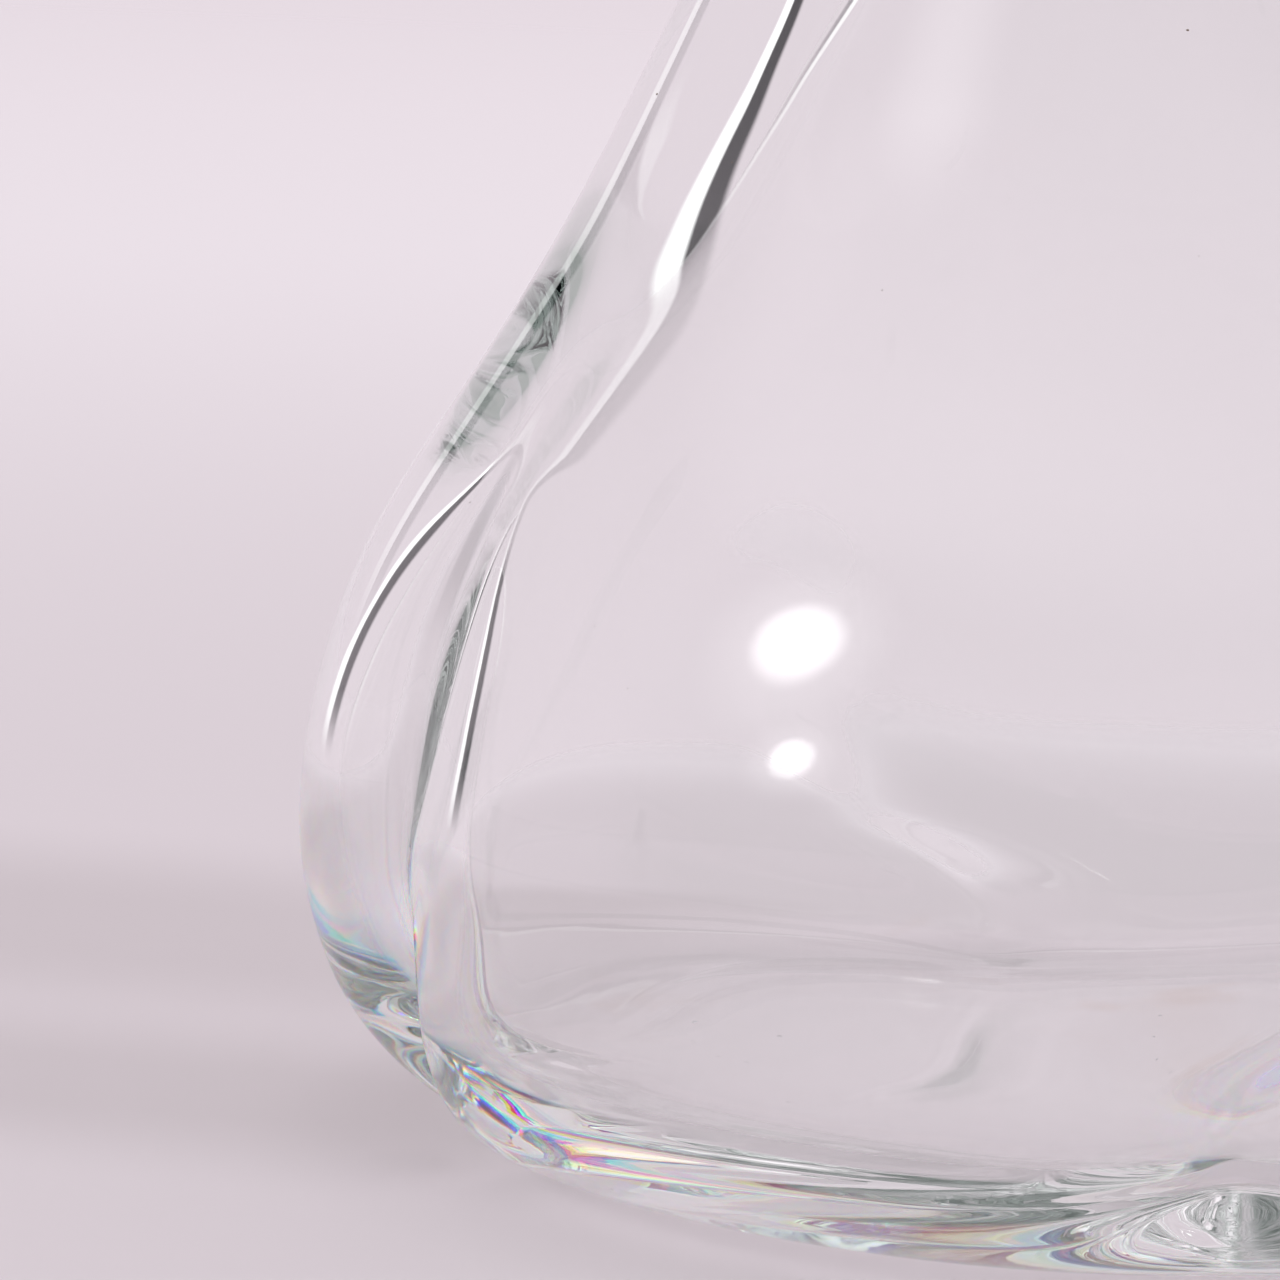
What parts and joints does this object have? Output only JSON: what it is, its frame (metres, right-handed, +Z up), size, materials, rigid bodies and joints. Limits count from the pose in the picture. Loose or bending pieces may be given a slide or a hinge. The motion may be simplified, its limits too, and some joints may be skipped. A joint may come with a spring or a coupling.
{
  "type": "wine decanter",
  "caption": "Low, wide clear glass wine decanter with four lobes, swirled folds, a thick wall and a round neck, closed by a lobed glass stopper on a ribbed sleeve.",
  "frame": {"origin": "centre of the foot, on the flat face the decanter rests on", "axes": "+Z up through the neck and the stopper; the front fold faces -Y"},
  "size_m": [0.153, 0.153, 0.303],
  "materials": {
    "body_glass": "clear thick polished crystal glass, slightly wavy",
    "stopper_glass": "clear solid polished crystal glass, ground on the plug",
    "clear_seal": "translucent soft silicone"
  },
  "bodies": {
    "decanter": {"decanter_body": "body_glass"},
    "seal_carrier": {"stopper_seal": "clear_seal"},
    "stopper": {"stopper": "stopper_glass"}
  },
  "joints": [
    {"name": "stopper_lift", "type": "slide", "parent": "decanter", "child": "seal_carrier", "axis": [0, 0, 1], "range_m": [0, 0.05]},
    {"name": "stopper_turn", "type": "hinge", "parent": "seal_carrier", "child": "stopper", "pos_m": [0, 0, 0.22], "axis": [0, 0, 1], "continuous": true}
  ]
}
